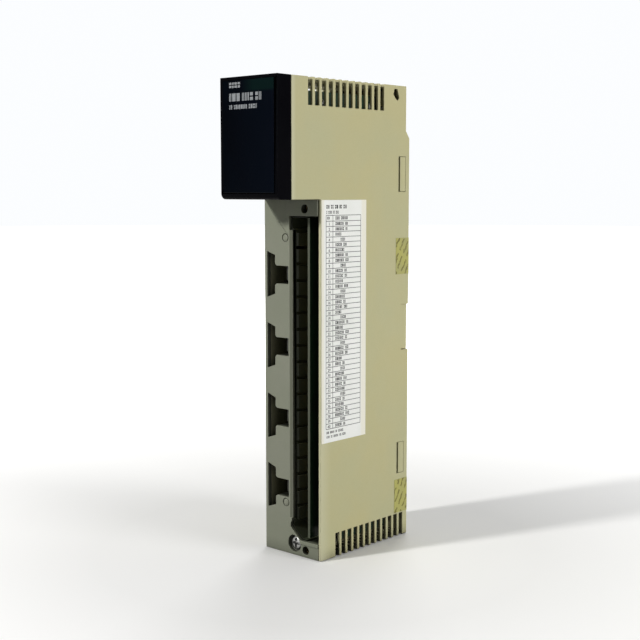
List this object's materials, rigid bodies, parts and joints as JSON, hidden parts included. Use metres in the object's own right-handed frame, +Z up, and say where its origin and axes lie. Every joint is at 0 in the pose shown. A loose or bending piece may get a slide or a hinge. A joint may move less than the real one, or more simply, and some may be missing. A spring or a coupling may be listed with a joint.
{
  "type": "rack module for a programmable controller",
  "caption": "Tall narrow input/output module for a backplane rack: vented beige case, black indicator nose, seat for a plug-on terminal block, captive mounting screw.",
  "frame": {"origin": "centre of the bounding box's base: the middle of the case's underside", "axes": "+Z up along the tall side, -Y out of the front (the indicator nose), +Y into the backplane, +X to the right as seen from the front"},
  "size_m": [0.0405, 0.104, 0.25],
  "materials": {
    "case_plastic": "fine-textured beige moulded plastic",
    "frame_plastic": "fine-textured grey-green moulded plastic",
    "liner_plastic": "dark moulded plastic",
    "cap_plastic": "black moulded plastic, satin",
    "smoked_lens": "smoked, nearly opaque, polished",
    "black_film": "printed plastic film",
    "baffle_plastic": "flat black",
    "clear_plastic": "clear, polished",
    "circuit_board": "green solder-masked laminate",
    "chip_black": "moulded black epoxy",
    "capacitor_sleeve": "dark plastic sleeve",
    "winding_block": "potted block",
    "connector_plastic": "ivory moulded plastic",
    "gold_contact": "gold-plated copper alloy",
    "brass": "machined",
    "steel": "zinc-plated",
    "label_paper": "white printed sheet",
    "seal_paper": "yellow printed sticker"
  },
  "bodies": {
    "case": {"left_shell": "case_plastic", "right_shell": "case_plastic", "rear_cover": "case_plastic", "front_frame": "frame_plastic", "channel_liner": "liner_plastic", "lower_frame_pin": "frame_plastic", "upper_frame_pin": "frame_plastic", "lower_terminal_insert": "brass", "upper_terminal_insert": "brass", "nose_cap": "cap_plastic", "lens": "smoked_lens", "legend_film": "black_film", "light_baffle": "baffle_plastic", "light_guide": "clear_plastic", "lamp_board": "circuit_board", "lamp_header": "chip_black", "field_board": "circuit_board", "logic_board": "circuit_board", "field_link": "chip_black", "logic_link": "chip_black", "processor_chip": "chip_black", "bus_chip": "chip_black", "program_memory": "chip_black", "data_memory": "chip_black", "power_converter": "steel", "isolation_transformer": "winding_block", "backplane_plug": "connector_plastic", "left_plug_contacts": "gold_contact", "right_plug_contacts": "gold_contact", "hanger_rod": "steel", "earth_clip": "steel", "wiring_label": "label_paper", "upper_seal_sticker": "seal_paper", "lower_seal_sticker": "seal_paper", "board_spacer_1": "brass", "board_screw_1": "steel", "board_spacer_2": "brass", "board_screw_2": "steel", "board_spacer_3": "brass", "board_screw_3": "steel", "board_spacer_4": "brass", "board_screw_4": "steel", "channel_isolator_1": "winding_block", "channel_isolator_2": "winding_block", "channel_isolator_3": "winding_block", "channel_isolator_4": "winding_block", "channel_isolator_5": "winding_block", "channel_isolator_6": "winding_block", "channel_isolator_7": "winding_block", "channel_isolator_8": "winding_block", "capacitor_1": "capacitor_sleeve", "capacitor_2": "capacitor_sleeve", "capacitor_3": "capacitor_sleeve"},
    "screw_carriage": {"retaining_ring": "steel"},
    "screw": {"mounting_screw": "steel"}
  },
  "joints": [
    {"name": "screw_push", "type": "slide", "parent": "case", "child": "screw_carriage", "axis": [0, 1, 0], "range_m": [0, 0.006]},
    {"name": "screw_turn", "type": "hinge", "parent": "screw_carriage", "child": "screw", "pos_m": [0.00123, -0.0195, 0.0062], "axis": [0, 1, 0], "continuous": true}
  ]
}
